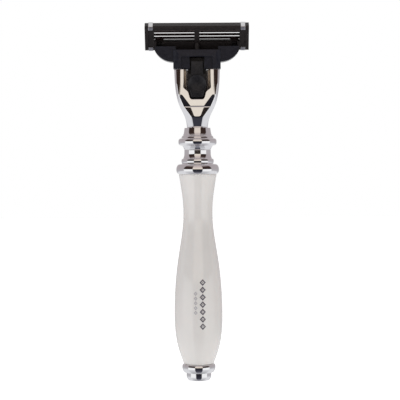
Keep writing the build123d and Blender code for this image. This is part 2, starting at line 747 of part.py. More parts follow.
# ---- Clips: bent aluminium bands over both ends of the frame that hold the blades in ----
clip_top = frame_thickness + clip_thickness
for low_x, name in ((-clip_inner - clip_width, "clip_left"), (clip_inner, "clip_right")):
    with BuildPart() as clip:
        with BuildSketch(unit_plane.offset(low_x)):
            with BuildLine():
                Polyline(
                    (0, clip_hook), (0, 0), (clip_top, 0), (clip_top, unit_depth), (0, unit_depth),
                    (0, unit_depth - clip_hook), (clip_thickness, unit_depth - clip_hook),
                    (clip_thickness, cap_seat), (frame_thickness, cap_seat),
                    (frame_thickness, clip_thickness), (clip_thickness, clip_thickness),
                    (clip_thickness, clip_hook),
                    close=True,
                )
            make_face()
        extrude(amount=clip_width)
        outer_corners = clip.edges().filter_by(Axis.X).filter_by(
            lambda edge: min(
                (edge.center() - unit_plane.from_local_coords((w, v, low_x + clip_width / 2))).length
                for w in (0, clip_top)
                for v in (0, unit_depth)
            )
            < 0.01
        )
        fillet(outer_corners, radius=0.28)
    pieces[name] = clip

# ---- Blades and their bent supports: each pair floats on its own, pushed in by the skin ----
slope = radians(blade_angle)
for index in range(blade_count):
    cutting_v = edge_v + index * blade_pitch

    def slope_point(back, under):
        """The section point this far back from the cutting edge and this far under the blade."""
        return (
            edge_w - back * sin(slope) - under * cos(slope),
            cutting_v + back * cos(slope) - under * sin(slope),
        )

    with BuildPart() as blade:
        with BuildSketch(unit_plane.offset(-blade_half_length)):
            with BuildLine():
                Polyline(
                    slope_point(0, blade_thickness / 2), slope_point(blade_bevel, 0),
                    slope_point(blade_width, 0), slope_point(blade_width, blade_thickness),
                    slope_point(blade_bevel, blade_thickness),
                    close=True,
                )
            make_face()
        extrude(amount=2 * blade_half_length)
    pieces[f"blade_{index + 1}"] = blade

    under = blade_thickness + support_thickness
    bend = slope_point(support_length, blade_thickness)
    inner_back = (bend[1] - support_thickness - cutting_v + under * sin(slope)) / cos(slope)
    with BuildPart() as blade_support:
        with BuildSketch(unit_plane.offset(-blade_half_length)):
            with BuildLine():
                Polyline(
                    slope_point(edge_overhang, blade_thickness), bend, (support_foot, bend[1]),
                    (support_foot, bend[1] - support_thickness), slope_point(inner_back, under),
                    slope_point(edge_overhang, under),
                    close=True,
                )
            make_face()
        extrude(amount=2 * blade_half_length)
    pieces[f"blade_support_{index + 1}"] = blade_support

for name, piece in pieces.items():
    piece.part.label = name
    export_step(piece.part, f"parts/{name}.step")

print(f"pivot axis at y {pivot_y:.3f}, z {pivot_z:.3f}")
print(f"plunger: tip centre z {tip_z:.3f}, travel {plunger_travel:.3f}")
print(f"metres of plunger per radian of pivot: {-plunger_travel / radians(pivot_range) / 1000:.6f}")
print(f"plunger spring from z {chamber_z + seat_gap:.3f} to {collar_rest_z - seat_gap:.3f}")
print(f"button springs' fixed ends at z {spring_seat_z + button_spring_length - 2 * seat_gap:.3f}")
print(f"dock at z {dock_z:.3f}, dock travel {tip_z + plunger_r - yoke_z:.3f}")
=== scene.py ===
"""Cartridge razor: turned resin handle, chromed fittings, release button and pivoting three-blade unit.

Metres, +Z up along the handle. The button and the back of the blade unit face -Y.
"""
from math import cos, pi, radians, sin

import bmesh
import bpy
import numpy as np
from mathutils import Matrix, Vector


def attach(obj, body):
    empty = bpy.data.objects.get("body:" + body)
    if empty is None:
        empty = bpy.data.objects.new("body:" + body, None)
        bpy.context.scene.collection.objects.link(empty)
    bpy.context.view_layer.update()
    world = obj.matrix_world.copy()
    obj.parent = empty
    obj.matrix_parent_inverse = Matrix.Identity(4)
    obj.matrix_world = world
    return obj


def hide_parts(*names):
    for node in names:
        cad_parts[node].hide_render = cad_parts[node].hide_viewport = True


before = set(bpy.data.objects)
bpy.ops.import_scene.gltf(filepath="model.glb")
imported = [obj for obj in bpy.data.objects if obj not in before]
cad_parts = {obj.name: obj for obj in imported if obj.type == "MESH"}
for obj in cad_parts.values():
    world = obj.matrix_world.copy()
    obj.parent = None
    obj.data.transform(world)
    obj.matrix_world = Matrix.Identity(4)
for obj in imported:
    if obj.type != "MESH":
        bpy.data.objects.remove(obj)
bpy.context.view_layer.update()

# ---- Finial ----
# The real piece is the screwed foot of the handle, turned from brass bar and chromed.
# Its flank swells a little from the flat foot and it screws onto the tie rod.
mm = 0.001


def rounded(corners, radii, closed=False, steps=6):
    """Corner points with each corner rounded: a parabola (1-t)^2 A + 2t(1-t) P + t^2 B from the
    point A one radius before the corner P to the point B one radius after it."""
    p = np.asarray(corners, float)
    back, ahead = np.roll(p, 1, 0) - p, np.roll(p, -1, 0) - p
    back_length = np.linalg.norm(back, axis=1, keepdims=True)
    ahead_length = np.linalg.norm(ahead, axis=1, keepdims=True)
    cut = np.broadcast_to(np.asarray(radii, float), len(p))[:, None]
    cut = np.minimum(cut, 0.49 * np.minimum(back_length, ahead_length))
    start, end = p + back / back_length * cut, p + ahead / ahead_length * cut
    t = np.linspace(0, 1, steps)[None, :, None]
    line = (1 - t) ** 2 * start[:, None] + 2 * t * (1 - t) * p[:, None] + t**2 * end[:, None]
    if not closed:
        line[0], line[-1] = p[0], p[-1]
    line = line.reshape(-1, p.shape[1])
    step = np.linalg.norm(line - np.roll(line, 1, 0), axis=1)
    step[0] = step[0] if closed else 1
    return line[step > 1e-7]


def add_mesh(name, points, faces, sharp=35):
    """An object from whole arrays of points and faces, shaded smooth up to the angle given."""
    mesh = bpy.data.meshes.new(name)
    mesh.from_pydata(points.tolist(), [], [row for block in faces for row in block.tolist()])
    mesh.validate()
    mesh.shade_smooth()
    mesh.set_sharp_from_angle(angle=radians(sharp))
    thing = bpy.data.objects.new(name, mesh)
    bpy.context.scene.collection.objects.link(thing)
    return thing


def grid_faces(rows, columns):
    """Quads of a grid whose columns run round and join, as four corner numbers each."""
    i = np.arange(rows - 1)[:, None]
    j = np.arange(columns)[None, :]
    up, on = i + 1, (j + 1) % columns
    quads = [i * columns + j, i * columns + on, up * columns + on, up * columns + j]
    return np.stack(quads, -1).reshape(-1, 4)


def fans(rows, columns, first_pole):
    """Triangles that close the first and the last row of a grid to its two pole points."""
    j = np.arange(columns)
    on, top = (j + 1) % columns, (rows - 1) * columns
    low = np.stack([on, j, np.full(columns, first_pole)], -1)
    high = np.stack([top + j, top + on, np.full(columns, first_pole + 1)], -1)
    return np.concatenate([low, high])


def turned(name, outline, around=160):
    """A turned piece: the outline (radius r, height h) spun round the axis, with x = r cos a,
    y = r sin a and z = h. The outline starts and ends on the axis, where single points close it."""
    a = np.arange(around) * 2 * pi / around
    r, h = outline[1:-1, 0][:, None], outline[1:-1, 1][:, None]
    grid = np.stack([r * np.cos(a), r * np.sin(a), h + 0 * a], -1).reshape(-1, 3)
    poles = np.array([[0, 0, outline[0, 1]], [0, 0, outline[-1, 1]]])
    rows = len(outline) - 2
    return add_mesh(name, np.concatenate([grid, poles]),
                    [grid_faces(rows, around), fans(rows, around, rows * around)])


def surface(name, colours, metallic, rough, grain, bump, stretch=(1, 1, 1), fine=8, sockets=()):
    """A procedural finish: cloudy colour, uneven roughness and a fine relief, all from noise in the
    piece's own coordinates. grain is the size of the clouds, and the relief is fine times smaller."""
    made = bpy.data.materials.new(name)
    made.use_nodes = True
    nodes, links = made.node_tree.nodes, made.node_tree.links
    shader = nodes["Principled BSDF"]
    place = nodes.new("ShaderNodeTexCoord")
    mapping = nodes.new("ShaderNodeMapping")
    mapping.inputs["Scale"].default_value = stretch
    links.new(place.outputs["Object"], mapping.inputs["Vector"])
    clouds = nodes.new("ShaderNodeTexNoise")
    clouds.inputs["Scale"].default_value = 1 / grain
    clouds.inputs["Detail"].default_value = 4
    relief = nodes.new("ShaderNodeTexNoise")
    relief.inputs["Scale"].default_value = fine / grain
    relief.inputs["Detail"].default_value = 3
    for noise in (clouds, relief):
        links.new(mapping.outputs["Vector"], noise.inputs["Vector"])
    ramp = nodes.new("ShaderNodeValToRGB")
    ramp.color_ramp.elements[0].position = 0.3
    ramp.color_ramp.elements[1].position = 0.7
    ramp.color_ramp.elements[0].color = (*colours[0], 1)
    ramp.color_ramp.elements[1].color = (*colours[1], 1)
    links.new(clouds.outputs["Fac"], ramp.inputs["Fac"])
    links.new(ramp.outputs["Color"], shader.inputs["Base Color"])
    spread = nodes.new("ShaderNodeMapRange")
    spread.inputs["From Min"].default_value = 0.3
    spread.inputs["From Max"].default_value = 0.7
    spread.inputs["To Min"].default_value = rough[0]
    spread.inputs["To Max"].default_value = rough[1]
    links.new(relief.outputs["Fac"], spread.inputs["Value"])
    links.new(spread.outputs["Result"], shader.inputs["Roughness"])
    lift = nodes.new("ShaderNodeBump")
    lift.inputs["Strength"].default_value = bump
    lift.inputs["Distance"].default_value = 0.0001
    links.new(relief.outputs["Fac"], lift.inputs["Height"])
    links.new(lift.outputs["Normal"], shader.inputs["Normal"])
    shader.inputs["Metallic"].default_value = metallic
    for socket, value in dict(sockets).items():
        shader.inputs[socket].default_value = value
    return made


def place_piece(thing, material, body, slot, *nodes):
    """Gives a piece its finish, ties it to its body and hides the CAD nodes it stands for. The slot is not
    used.
    """
    thing.data.materials.clear()
    thing.data.materials.append(material)
    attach(thing, body)
    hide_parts(*nodes)
    return thing


chrome = surface("chrome", ((0.84, 0.84, 0.855), (0.88, 0.88, 0.89)), 1, (0.035, 0.07), 1.5 * mm, 0.02)
finial_height = 3.1 * mm
finial_outline = rounded(
    [(0, 0), (4.3 * mm, 0), (4.86 * mm, 0.75 * mm), (5.0 * mm, 1.6 * mm), (5.0 * mm, finial_height),
     (0, finial_height)],
    [0, 0.25 * mm, 0.4 * mm, 0.5 * mm, 0.15 * mm, 0],
)
place_piece(turned("finial", finial_outline), chrome, "handle", "chrome", "finial")

# ---- Base ring ----
# A half-round bead turned in brass and chromed, clamped between the finial and the grip.


def bead(low_r, low_z, full_r, high_r, high_z, flat=24):
    """Half-round flank from (low_r, low_z) to (high_r, high_z): radius = straight line between the two
    edges plus bulge * sin(a)^0.9, height = middle - half height * cos(a), for a from 0 to 180 degrees."""
    a = np.linspace(0, pi, flat)
    edge = low_r + (high_r - low_r) * (1 - np.cos(a)) / 2
    radius = edge + (full_r - (low_r + high_r) / 2) * np.sin(a) ** 0.9
    return np.stack([radius, (low_z + high_z) / 2 - (high_z - low_z) / 2 * np.cos(a)], -1)


grip_z = 6.6 * mm
ring_flank = bead(5.6 * mm, finial_height, 6.66 * mm, 6.0 * mm, grip_z - 0.05 * mm)
ring_outline = np.concatenate([[(0, finial_height)], ring_flank, [(0, grip_z - 0.05 * mm)]])
place_piece(turned("base_ring", ring_outline), chrome, "handle", "chrome", "base_ring")

# ---- Grip ----
# Polished cast resin, turned on a lathe: fullest a third of the way up, waisted under the collar.
# The real grip is bored through for the tie rod; this piece is solid. A small ornament is printed on the
# side of the button.
collar_z = 82.5 * mm


def smooth_through(at, places, values):
    """Natural cubic spline through the values at the places, worked out at every point of at.
    Between two knots it is the line between them plus (b^3 - b) and (a^3 - a) terms of its bending."""
    places, values = np.asarray(places, float), np.asarray(values, float)
    gap = np.diff(places)
    count = len(places)
    matrix, side = np.eye(count), np.zeros(values.shape)
    i = np.arange(1, count - 1)
    matrix[i, i - 1], matrix[i, i], matrix[i, i + 1] = gap[:-1], 2 * (gap[:-1] + gap[1:]), gap[1:]
    rise = (np.diff(values, axis=0).T / gap).T
    side[1:-1] = 6 * np.diff(rise, axis=0)
    bend = np.linalg.solve(matrix, side)
    k = np.clip(np.searchsorted(places, at) - 1, 0, count - 2)
    b = (at - places[k]) / gap[k]
    a = 1 - b
    shape = (-1,) + (1,) * (values.ndim - 1)
    a, b, g = a.reshape(shape), b.reshape(shape), gap[k].reshape(shape)
    return a * values[k] + b * values[k + 1] + ((a**3 - a) * bend[k] + (b**3 - b) * bend[k + 1]) * g**2 / 6


grip_heights = np.linspace(grip_z, collar_z, 180)
grip_radii = smooth_through(
    grip_heights,
    np.array([6.6, 13.02, 28.0, 47.75, 67.5, 82.5]) * mm,
    np.array([6.0, 8.16, 9.6, 8.156, 5.8, 7.6]) * mm,
)
grip_flank = np.stack([grip_radii, grip_heights], -1)
grip_flank[0, 0] -= 0.12 * mm
grip_flank[-1, 0] -= 0.12 * mm
grip_outline = np.concatenate([[(0, grip_z)], grip_flank, [(0, collar_z)]])
grip = turned("handle_grip", grip_outline, 192)

resin = surface(
    "white_resin", ((0.68, 0.665, 0.645), (0.72, 0.70, 0.68)), 0, (0.10, 0.16), 14 * mm, 0.012, fine=30,
    sockets={"Coat Weight": 0.6, "Coat Roughness": 0.03, "Subsurface Weight": 0.15},
)
nodes, links = resin.node_tree.nodes, resin.node_tree.links
shader = nodes["Principled BSDF"]
shader.inputs["Subsurface Radius"].default_value = (2 * mm, 1.6 * mm, 1.4 * mm)
shader.inputs["Subsurface Scale"].default_value = 0.5


def math_node(kind, *values):
    """One arithmetic node of the material being built; a value may be a number or another node."""
    node = nodes.new("ShaderNodeMath")
    node.operation = kind
    for socket, value in zip(node.inputs, values):
        if isinstance(value, (int, float)):
            socket.default_value = value
        else:
            links.new(value.outputs[0] if hasattr(value, "outputs") else value, socket)
    return node


def lozenges(x, y, z, centre, half, low, high, pitch):
    """1 on the front of the grip inside a column of lozenge rings: the ring is where
    |x - centre| / half + 2 |height within the pitch - 1/2| lies between 0.42 and 0.92."""
    across = math_node("DIVIDE", math_node("ABSOLUTE", math_node("SUBTRACT", x, centre)), half)
    turns = math_node("FRACT", math_node("DIVIDE", math_node("SUBTRACT", z, low), pitch))
    along = math_node("MULTIPLY", math_node("ABSOLUTE", math_node("SUBTRACT", turns, 0.5)), 2)
    reach = math_node("ADD", across, along)
    under, over = math_node("LESS_THAN", reach, 0.92), math_node("GREATER_THAN", reach, 0.42)
    ring = math_node("MULTIPLY", under, over)
    dot = math_node("LESS_THAN", reach, 0.2)
    inside = math_node("MULTIPLY", math_node("GREATER_THAN", z, low), math_node("LESS_THAN", z, high))
    shown = math_node("MULTIPLY", inside, math_node("LESS_THAN", y, 0))
    return math_node("MULTIPLY", math_node("MAXIMUM", ring, dot), shown)


own = nodes.new("ShaderNodeSeparateXYZ")
links.new(nodes["Texture Coordinate"].outputs["Object"], own.inputs["Vector"])
x, y, z = own.outputs
large = lozenges(x, y, z, 1.7 * mm, 1.35 * mm, 21.0 * mm, 41.3 * mm, 2.9 * mm)
small = lozenges(x, y, z, -1.1 * mm, 0.8 * mm, 27.0 * mm, 36.4 * mm, 1.88 * mm)
clouds = shader.inputs["Base Color"].links[0].from_socket
for mask, ink in ((large, (0.11, 0.10, 0.12, 1)), (small, (0.42, 0.41, 0.43, 1))):
    printed = nodes.new("ShaderNodeMix")
    printed.data_type = "RGBA"
    links.new(mask.outputs[0], printed.inputs["Factor"])
    links.new(clouds, printed.inputs["A"])
    printed.inputs["B"].default_value = ink
    clouds = printed.outputs["Result"]
links.new(clouds, shader.inputs["Base Color"])
place_piece(grip, resin, "handle", "white_resin", "handle_grip")

# ---- Tie rod ----
# Drawn steel rod, threaded at both ends, that clamps the handle's pieces together.
rod_low, rod_high, rod_r = 1.33 * mm, 105.97 * mm, 2.0 * mm
rod_heights = np.linspace(rod_low, rod_high, 900)
from_end = np.minimum(rod_heights - rod_low, rod_high - rod_heights)
thread = 0.16 * mm * np.abs(2 * (rod_heights / (0.7 * mm) % 1) - 1) * (from_end < 12 * mm)
rod_radii = rod_r - thread - np.clip(0.4 * mm - from_end, 0, None)
rod_outline = np.concatenate([[(0, rod_low)], np.stack([rod_radii, rod_heights], -1), [(0, rod_high)]])
rod_steel = surface("rod_steel", ((0.52, 0.52, 0.53), (0.63, 0.63, 0.64)), 1, (0.22, 0.38), 1.2 * mm, 0.15,
                    stretch=(1, 1, 0.05))
place_piece(turned("tie_rod", rod_outline, 48), rod_steel, "handle", "rod_steel", "tie_rod")

# ---- Collar ring ----
# A large chromed bead on the grip's rim with a stepped shoulder above it, turned in one piece.
ferrule_z = 88.7 * mm
bead_top = collar_z + 0.66 * 6.2 * mm
shoulder = rounded(
    [(6.9 * mm, bead_top), (6.25 * mm, bead_top + 0.05 * mm), (6.52 * mm, ferrule_z - 1.1 * mm),
     (6.35 * mm, ferrule_z), (0, ferrule_z)],
    [0, 0.12 * mm, 0.9 * mm, 0.45 * mm, 0],
)
collar_flank = bead(7.3 * mm, collar_z, 8.56 * mm, 7.1 * mm, bead_top)
collar_outline = np.concatenate([[(0, collar_z)], collar_flank, shoulder])
place_piece(turned("collar_ring", collar_outline), chrome, "handle", "chrome", "collar_ring")

# ---- Neck ferrule ----
# Turned and chromed: a plain waist below, by which the razor hangs in a stand, and a domed bead above.
fork_z = 101.0 * mm
neck_heights = np.linspace(ferrule_z, fork_z - 0.05 * mm, 220)
neck_radii = smooth_through(
    neck_heights,
    np.array([88.7, 89.3, 90.0, 91.2, 92.6, 93.4, 94.1, 95.4, 96.7, 97.5, 98.3, 99.4, 101.0]) * mm,
    np.array([5.85, 5.55, 5.36, 5.30, 5.40, 5.80, 6.25, 6.55, 6.50, 6.25, 5.70, 5.38, 5.15]) * mm,
)
bead_part = np.clip(np.abs(neck_heights - 95.4 * mm) / (1.5 * mm), 0, 1)
bead_radii = 6.25 * mm + 1.4 * mm * (1 - bead_part**2.6) ** (1 / 2.6)
neck_radii = np.where(bead_part < 1, np.maximum(neck_radii, bead_radii), neck_radii)
groove = 0.10 * mm * np.exp(-(((neck_heights - 92.3 * mm) / (0.12 * mm)) ** 2))
groove += 0.12 * mm * np.exp(-(((neck_heights - 98.0 * mm) / (0.12 * mm)) ** 2))
neck_flank = np.stack([neck_radii - groove, neck_heights], -1)
ferrule_outline = np.concatenate([[(0, ferrule_z)], neck_flank, [(0, fork_z - 0.05 * mm)]])
place_piece(turned("neck_ferrule", ferrule_outline), chrome, "handle", "chrome", "neck_ferrule")

# ---- Neck fork ----
# Chromed zinc casting: a round foot that widens into a flat shield with chamfered rear edges.
# A pocket and a window behind it take the plastic carrier and the release button.
fork_height = 23.2 * mm
dock_z = fork_z + fork_height
# height, half width, rear face's half width, flank's half width, rear, flank's step, rear chamfer,
# front, front chamfer, corner rounding
fork_sizes = np.array([
    (0.0, 4.1, 0.9, 1.9, 4.1, 0.15, 2.4, 4.1, 2.4, 0.6),
    (4.0, 4.85, 0.9, 2.4, 5.35, 0.2, 2.9, 3.6, 2.2, 0.35),
    (8.4, 6.9, 2.6, 5.5, 5.1, 0.38, 2.6, 3.2, 1.8, 0.25),
    (12.8, 8.2, 5.9, 7.5, 4.9, 0.33, 2.1, 3.2, 1.6, 0.25),
    (17.5, 8.8, 6.35, 8.15, 4.65, 0.45, 1.8, 3.2, 1.6, 0.25),
    (23.2, 9.05, 6.35, 8.3, 4.3, 0.5, 1.8, 3.2, 1.6, 0.25),
]) * mm


def closed_loft(name, rings, sharp=35):
    """A closed skin over rings of points: rings[i, j] is point j of ring i. Its two ends are
    closed by fans to the middle of the first and the last ring."""
    rows, columns = rings.shape[:2]
    ends = np.stack([rings[0].mean(0), rings[-1].mean(0)])
    points = np.concatenate([rings.reshape(-1, 3), ends])
    return add_mesh(name, points, [grid_faces(rows, columns), fans(rows, columns, rows * columns)], sharp)


def faceted(heights, table):
    """Straight lines through the table's rows, averaged over a short stretch of height, so that the
    casting's faces stay flat and each fold between them is only a little soft."""
    places = heights[:, None] + np.linspace(-0.3, 0.3, 7) * mm
    row = np.clip(np.searchsorted(table[:, 0], places) - 1, 0, len(table) - 2)
    part = (places - table[row, 0]) / (table[row + 1, 0] - table[row, 0])
    return (table[row, 1:] + part[..., None] * (table[row + 1, 1:] - table[row, 1:])).mean(1)


def fork_ring(levels, inset):
    """The fork's rings: ten corners at each height, rounded by parabolas as in rounded(). The sides
    curve smoothly and the other faces are flat. A fine line is scribed across the rear."""
    face, flank, rear, flank_step, rear_cut, front, front_cut, soft = faceted(levels, fork_sizes).T[1:]
    half = smooth_through(levels, fork_sizes[:, 0], fork_sizes[:, 1])
    scribe = 0.13 * mm * np.exp(-(((levels - 8.3 * mm) / (0.13 * mm)) ** 2))
    half, face, rear, front = half - inset, face - 0.4 * inset, rear - inset, front - inset
    flank = flank - 0.7 * inset
    corners = np.stack([
        np.stack([face, scribe - rear], -1), np.stack([flank, flank_step - rear], -1),
        np.stack([half, rear_cut - rear], -1), np.stack([half, front - front_cut], -1),
        np.stack([half - front_cut, front], -1), np.stack([front_cut - half, front], -1),
        np.stack([-half, front - front_cut], -1), np.stack([-half, rear_cut - rear], -1),
        np.stack([-flank, flank_step - rear], -1), np.stack([-face, scribe - rear], -1),
    ], 1)
    back, ahead = np.roll(corners, 1, 1) - corners, np.roll(corners, -1, 1) - corners
    back_length = np.linalg.norm(back, axis=2, keepdims=True)
    ahead_length = np.linalg.norm(ahead, axis=2, keepdims=True)
    cut = np.minimum(soft[:, None, None], 0.45 * np.minimum(back_length, ahead_length))
    start, end = corners + back / back_length * cut, corners + ahead / ahead_length * cut
    t = np.linspace(0, 1, 7)[None, None, :, None]
    line = (1 - t) ** 2 * start[:, :, None] + 2 * t * (1 - t) * corners[:, :, None] + t**2 * end[:, :, None]
    line = line.reshape(len(levels), -1, 2)
    heights = np.broadcast_to((levels + fork_z)[:, None, None], line.shape[:2] + (1,))
    return np.concatenate([line, heights], -1)


rim = 0.25 * mm
rim_angles = np.linspace(0, pi / 2, 6)
scribed = 8.3 * mm + np.linspace(-0.3, 0.3, 11) * mm
levels = np.union1d(np.linspace(0, fork_height - rim, 70), scribed)
insets = np.concatenate([np.zeros(len(levels)), rim - rim * np.cos(rim_angles[1:])])
levels = np.concatenate([levels, fork_height - rim + rim * np.sin(rim_angles[1:])])
fork = closed_loft("neck_fork", fork_ring(levels, insets))


def cutter(name, outline, depths, grow):
    """A closed cutter: the outline (x, z) at each depth y, grown away from its middle by grow."""
    edge = np.roll(outline, -1, 0) - np.roll(outline, 1, 0)
    outward = np.stack([edge[:, 1], -edge[:, 0]], -1) / np.linalg.norm(edge, axis=1, keepdims=True)
    flat = outline[None] + grow[:, None, None] * outward[None]
    y = np.broadcast_to(depths.T if depths.ndim == 2 else depths[:, None], flat.shape[:2])
    return closed_loft(name, np.stack([flat[..., 0], y, flat[..., 1]], -1))


def cut_away(thing, *cutters):
    """Cuts the cutters out of the piece and removes them, keeping the result as plain mesh."""
    for tool in cutters:
        step = thing.modifiers.new("cut", "BOOLEAN")
        step.object, step.operation, step.solver = tool, "DIFFERENCE", "EXACT"
    bpy.context.view_layer.update()
    result = bpy.data.meshes.new_from_object(thing.evaluated_get(bpy.context.evaluated_depsgraph_get()))
    thing.modifiers.clear()
    thing.data = result
    thing.data.shade_smooth()
    thing.data.set_sharp_from_angle(angle=radians(30))
    for tool in cutters:
        bpy.data.objects.remove(tool)


above = dock_z + 2 * mm
pocket_outline = rounded(
    [(6.2 * mm, above), (-6.2 * mm, above), (-6.2 * mm, 117.1 * mm), (-3.3 * mm, 110.8 * mm),
     (3.3 * mm, 110.8 * mm), (6.2 * mm, 117.1 * mm)],
    [0, 0, 0.5 * mm, 0.5 * mm, 0.5 * mm, 0.5 * mm], closed=True,
)
pocket = cutter("pocket", pocket_outline, np.array([2.1, -3.5]) * mm, np.zeros(2))
window_outline = rounded(
    [(5.3 * mm, above), (-5.3 * mm, above), (-5.2 * mm, 116.8 * mm), (-3.35 * mm, 115.3 * mm),
     (-2.7 * mm, 112.9 * mm), (-2.2 * mm, 112.3 * mm), (2.2 * mm, 112.3 * mm), (2.7 * mm, 112.9 * mm),
     (3.35 * mm, 115.3 * mm), (5.2 * mm, 116.8 * mm)],
    np.array([0, 0, 0.5, 0.6, 0.4, 0.3, 0.3, 0.4, 0.6, 0.5]) * mm, closed=True,
)
rear_there = faceted(np.clip(window_outline[:, 1] - fork_z, 0, fork_height), fork_sizes)[:, 3]
lip = np.array([1.6, 0.28, 0.13, 0.04, 0.0, -0.5]) * mm
lip_grow = np.array([0.0, 0.0, 0.05, 0.15, 0.3, 0.5]) * mm
window = cutter("window", window_outline, (lip[None, :] - rear_there[:, None]), lip_grow)
cut_away(fork, pocket, window)
place_piece(fork, chrome, "handle", "chrome", "neck_fork")

# ---- Dock insert ----
# Moulded black carrier pressed into the fork's pocket; its spigot takes the cartridge's connector.


def moulded_copy(node, name, edge):
    """The CAD solid as a moulding: a copy with doubled points merged, flat faces made whole and
    every edge rounded a little by a bevel."""
    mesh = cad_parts[node].data.copy()
    mesh.name = name
    work = bmesh.new()
    work.from_mesh(mesh)
    bmesh.ops.remove_doubles(work, verts=work.verts, dist=1e-6)
    bmesh.ops.dissolve_limit(work, angle_limit=radians(0.6), verts=work.verts, edges=work.edges)
    work.to_mesh(mesh)
    work.free()
    if "custom_normal" in mesh.attributes:
        mesh.attributes.remove(mesh.attributes["custom_normal"])
    mesh.shade_smooth()
    mesh.set_sharp_from_angle(angle=radians(30))
    thing = bpy.data.objects.new(name, mesh)
    bpy.context.scene.collection.objects.link(thing)
    step = thing.modifiers.new("edges", "BEVEL")
    step.width, step.segments, step.limit_method = edge, 2, "ANGLE"
    step.angle_limit, step.use_clamp_overlap, step.harden_normals = radians(32), False, True
    return thing


black = surface("black_moulding", ((0.012, 0.010, 0.010), (0.022, 0.018, 0.018)), 0, (0.30, 0.45), 1.2 * mm,
                0.25, fine=10, sockets={"Specular IOR Level": 0.25})
place_piece(moulded_copy("dock_insert", "dock_carrier", 0.08 * mm), black, "handle", "black_moulding",
            "dock_insert")

# ---- Latch arms ----
# Bent strips of spring steel keyed into the carrier; the nose of each snaps into the connector.


def slab(outline, low, high, edge, across="y", steps=4):
    """Rings of a plate: a closed outline (p, q) carried from low to high, its rims rounded by pulling
    the outline in by edge * (1 - cos a) while it moves edge * sin a, for a from 90 to 0 degrees."""
    step = np.roll(outline, -1, 0) - np.roll(outline, 1, 0)
    outward = np.stack([step[:, 1], -step[:, 0]], -1) / np.linalg.norm(step, axis=1, keepdims=True)
    a = np.linspace(pi / 2, 0, steps)
    inset = np.concatenate([edge * (1 - np.cos(a)), edge * (1 - np.cos(a[::-1]))])
    place = np.concatenate([low + edge * (1 - np.sin(a)), high - edge * (1 - np.sin(a[::-1]))])
    flat = outline[None] - inset[:, None, None] * outward[None]
    carried = np.broadcast_to(place[:, None], flat.shape[:2])
    p, q = flat[..., 0], flat[..., 1]
    if across == "y":
        return np.stack([p, carried, q], -1)[::-1]
    return np.stack([carried, p, q], -1)


spring_steel = surface("spring_steel", ((0.62, 0.52, 0.42), (0.74, 0.64, 0.53)), 1, (0.35, 0.50), 0.8 * mm,
                       0.1, stretch=(1, 1, 0.1))
for side, name in ((-1, "left"), (1, "right")):
    arm = [(4.4, 117.0), (5.5, 117.0), (5.5, 125.8), (6.0, 126.6), (5.5, 127.4), (5.1, 128.3), (4.4, 128.3)]
    arm = np.array(arm) * mm * np.array([side, 1])
    arm = rounded(arm[::side], 0.3 * mm, closed=True)
    piece = closed_loft("latch_arm_" + name, slab(arm, -1.2 * mm, 1.4 * mm, 0.08 * mm))
    place_piece(piece, spring_steel, "handle", "spring_steel", "latch_arm_" + name)

# ---- Springs ----
# Cold-wound compression springs of drawn wire: one under the plunger, two above the button's fingers.


def coil(name, x, y, low, high, radius, wire, turns):
    """A wire along a helix: centre = (R cos t, R sin t, rise * t), and round it a circle of the wire's
    radius in the plane of the outward direction and the helix's binormal."""
    t = np.linspace(0, 2 * pi * turns, int(turns * 40))[:, None]
    a = np.arange(14) * 2 * pi / 14
    rise = (high - low - 2 * wire) / (2 * pi * turns)
    lead = np.hypot(radius, rise)
    out = np.concatenate([np.cos(t), np.sin(t), 0 * t], 1)[:, None]
    side = np.concatenate([rise * np.sin(t), -rise * np.cos(t), radius + 0 * t], 1)[:, None] / lead
    centre = np.concatenate(
        [radius * np.cos(t) + x, radius * np.sin(t) + y, low + wire + rise * t], 1)[:, None]
    rings = centre + wire * (np.cos(a)[None, :, None] * out + np.sin(a)[None, :, None] * side)
    return closed_loft(name, rings[::-1], 60)


wire_steel = surface("drawn_wire", ((0.56, 0.56, 0.57), (0.68, 0.68, 0.69)), 1, (0.15, 0.28), 0.4 * mm, 0.1)
place_piece(coil("plunger_spring", 0, 0, 112.95 * mm, 119.65 * mm, 1.02 * mm, 0.15 * mm, 7), wire_steel,
            "handle", "spring_steel", "plunger_spring")
for side, name in ((-1, "button_spring_left"), (1, "button_spring_right")):
    piece = coil(name, side * 2.5 * mm, -0.4 * mm, 115.95 * mm, 121.35 * mm, 0.55 * mm, 0.11 * mm, 7)
    place_piece(piece, wire_steel, "handle", "spring_steel", name)

# ---- Plunger ----
# A moulded pin with a round tip. Its spring pushes it against the back of the blade unit.
tip_z, pin_r = 134.31 * mm, 0.9 * mm
ball = np.linspace(0, pi / 2, 14)
pin = rounded(
    [(0, 117.5 * mm), (0.7 * mm, 117.5 * mm), (0.7 * mm, 119.7 * mm), (1.22 * mm, 119.7 * mm),
     (1.22 * mm, 120.9 * mm), (pin_r, 120.9 * mm), (pin_r, tip_z)],
    [0, 0.1 * mm, 0.05 * mm, 0.1 * mm, 0.1 * mm, 0.05 * mm, 0], steps=4,
)
tip = np.stack([pin_r * np.cos(ball[1:]), tip_z + pin_r * np.sin(ball[1:])], -1)
tip[-1, 0] = 0
place_piece(turned("plunger", np.concatenate([pin, tip]), 48), black, "plunger", "black_moulding",
            "plunger")

# ---- Release button ----
# One black moulding: a slide plate behind the fork's window, a round thumb pad with a dished face,
# a tapered tail with a grip rib, a tongue up to the cartridge, and two fingers under the springs.


def join_rings(name, parts, sharp=35):
    """One object made of several closed skins, each given as rings of points."""
    points, faces, start = [], [], 0
    for rings in parts:
        rows, columns = rings.shape[:2]
        points += [rings.reshape(-1, 3), np.stack([rings[0].mean(0), rings[-1].mean(0)])]
        faces += [grid_faces(rows, columns) + start, fans(rows, columns, rows * columns) + start]
        start += rows * columns + 2
    return add_mesh(name, np.concatenate(points), faces, sharp)


